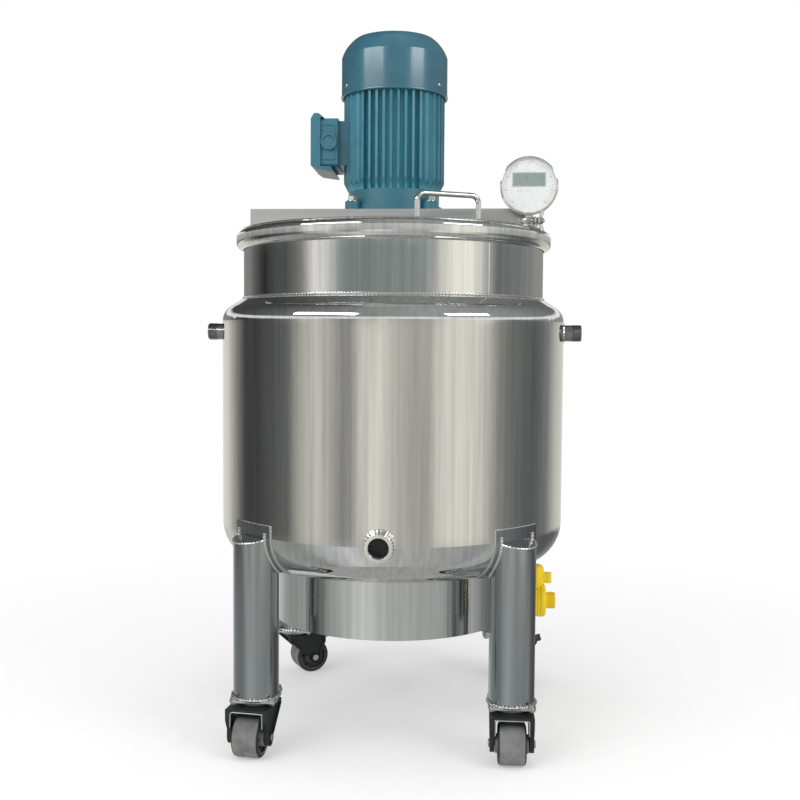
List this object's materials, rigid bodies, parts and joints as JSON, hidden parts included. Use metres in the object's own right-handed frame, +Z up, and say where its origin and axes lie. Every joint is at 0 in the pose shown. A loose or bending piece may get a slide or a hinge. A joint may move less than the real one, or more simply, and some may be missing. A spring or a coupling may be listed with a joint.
{
  "type": "jacketed mixing tank",
  "caption": "Jacketed stainless mixing tank on swivel casters with rear brakes, with a top-mounted motor on a bridge beam, a hinged half lid, a dial gauge and a bottom discharge valve.",
  "frame": {"origin": "on the floor plane, on the tank's vertical axis", "axes": "+Z up along the tank's axis; -Y out of the front nozzle; +X towards the discharge valve and the gauge"},
  "size_m": [0.63, 0.592, 1.1323],
  "materials": {
    "stainless_polished": "polished",
    "stainless_satin": "satin",
    "motor_paint": "gloss",
    "fan_plastic": "matte",
    "valve_plastic": "gloss",
    "caster_zinc": "zinc plated",
    "caster_black": "satin",
    "wheel_tread": "matte",
    "gauge_dial": "satin"
  },
  "bodies": {
    "tank": {"pot_wall": "stainless_polished", "rim_bead": "stainless_polished", "jacket_shell": "stainless_polished", "jacket_bottom": "stainless_polished", "bottom_skirt": "stainless_polished", "pot_bottom": "stainless_satin", "front_nozzle": "stainless_satin", "side_nozzles": "stainless_satin", "outlet_pipe": "stainless_satin", "leg_front_left": "stainless_satin", "leg_front_right": "stainless_satin", "leg_rear_left": "stainless_satin", "leg_rear_right": "stainless_satin", "leg_pads": "stainless_satin", "leg_caps": "stainless_satin", "rear_cover": "stainless_satin", "hinge_leaves": "stainless_satin", "bridge_beam": "stainless_satin", "wing_bolts": "stainless_satin", "agitator_shaft": "stainless_satin", "impeller": "stainless_satin", "gauge_stem": "stainless_satin", "gauge_case": "stainless_satin", "gauge_bezel": "stainless_satin", "valve_nut": "stainless_satin", "motor_end_shield": "motor_paint", "motor_frame": "motor_paint", "motor_upper_shield": "motor_paint", "fan_cover": "motor_paint", "terminal_box": "motor_paint", "terminal_lid": "motor_paint", "conduit_plug": "motor_paint", "motor_fan": "fan_plastic", "valve_body": "valve_plastic", "caster_plates": "caster_zinc", "gauge_face": "gauge_dial"},
    "lid": {"front_lid": "stainless_satin", "lid_handle": "stainless_satin", "lid_straps": "stainless_satin"},
    "valve_lever": {"valve_handle": "valve_plastic"},
    "swivel_front_left": {"fork_front_left": "caster_black"},
    "roller_front_left": {"wheel_front_left": "wheel_tread"},
    "swivel_front_right": {"fork_front_right": "caster_black"},
    "roller_front_right": {"wheel_front_right": "wheel_tread"},
    "swivel_rear_left": {"fork_rear_left": "caster_black"},
    "roller_rear_left": {"wheel_rear_left": "wheel_tread"},
    "pedal_rear_left": {"brake_pedal_rear_left": "caster_black"},
    "swivel_rear_right": {"fork_rear_right": "caster_black"},
    "roller_rear_right": {"wheel_rear_right": "wheel_tread"},
    "pedal_rear_right": {"brake_pedal_rear_right": "caster_black"}
  },
  "joints": [
    {"name": "lid_hinge", "type": "hinge", "parent": "tank", "child": "lid", "pos_m": [0, -0.099, 0.8198], "axis": [-1, 0, 0], "range_deg": [0, 75]},
    {"name": "valve_turn", "type": "hinge", "parent": "tank", "child": "valve_lever", "pos_m": [0.245, 0, 0.2263], "axis": [0, 0, 1], "range_deg": [0, 90]},
    {"name": "caster_swivel_front_left", "type": "hinge", "parent": "tank", "child": "swivel_front_left", "pos_m": [-0.19658, -0.19658, 0.0767], "axis": [0, 0, 1], "continuous": true},
    {"name": "wheel_spin_front_left", "type": "hinge", "parent": "swivel_front_left", "child": "roller_front_left", "pos_m": [-0.20047, -0.2243, 0.0315], "axis": [0.9903, -0.1392, 0], "continuous": true},
    {"name": "caster_swivel_front_right", "type": "hinge", "parent": "tank", "child": "swivel_front_right", "pos_m": [0.19658, -0.19658, 0.0767], "axis": [0, 0, 1], "continuous": true},
    {"name": "wheel_spin_front_right", "type": "hinge", "parent": "swivel_front_right", "child": "roller_front_right", "pos_m": [0.19658, -0.22458, 0.0315], "axis": [1, 0, 0], "continuous": true},
    {"name": "caster_swivel_rear_left", "type": "hinge", "parent": "tank", "child": "swivel_rear_left", "pos_m": [-0.19658, 0.19658, 0.0767], "axis": [0, 0, 1], "continuous": true},
    {"name": "wheel_spin_rear_left", "type": "hinge", "parent": "swivel_rear_left", "child": "roller_rear_left", "pos_m": [-0.17233, 0.21058, 0.0315], "axis": [-0.5, 0.866, 0], "continuous": true},
    {"name": "brake_rear_left", "type": "hinge", "parent": "swivel_rear_left", "child": "pedal_rear_left", "pos_m": [-0.15934, 0.21808, 0.066], "axis": [-0.5, 0.866, 0], "range_deg": [0, 12]},
    {"name": "caster_swivel_rear_right", "type": "hinge", "parent": "tank", "child": "swivel_rear_right", "pos_m": [0.19658, 0.19658, 0.0767], "axis": [0, 0, 1], "continuous": true},
    {"name": "wheel_spin_rear_right", "type": "hinge", "parent": "swivel_rear_right", "child": "roller_rear_right", "pos_m": [0.22458, 0.19658, 0.0315], "axis": [0, 1, 0], "continuous": true},
    {"name": "brake_rear_right", "type": "hinge", "parent": "swivel_rear_right", "child": "pedal_rear_right", "pos_m": [0.23958, 0.19658, 0.066], "axis": [0, 1, 0], "range_deg": [0, 12]}
  ]
}
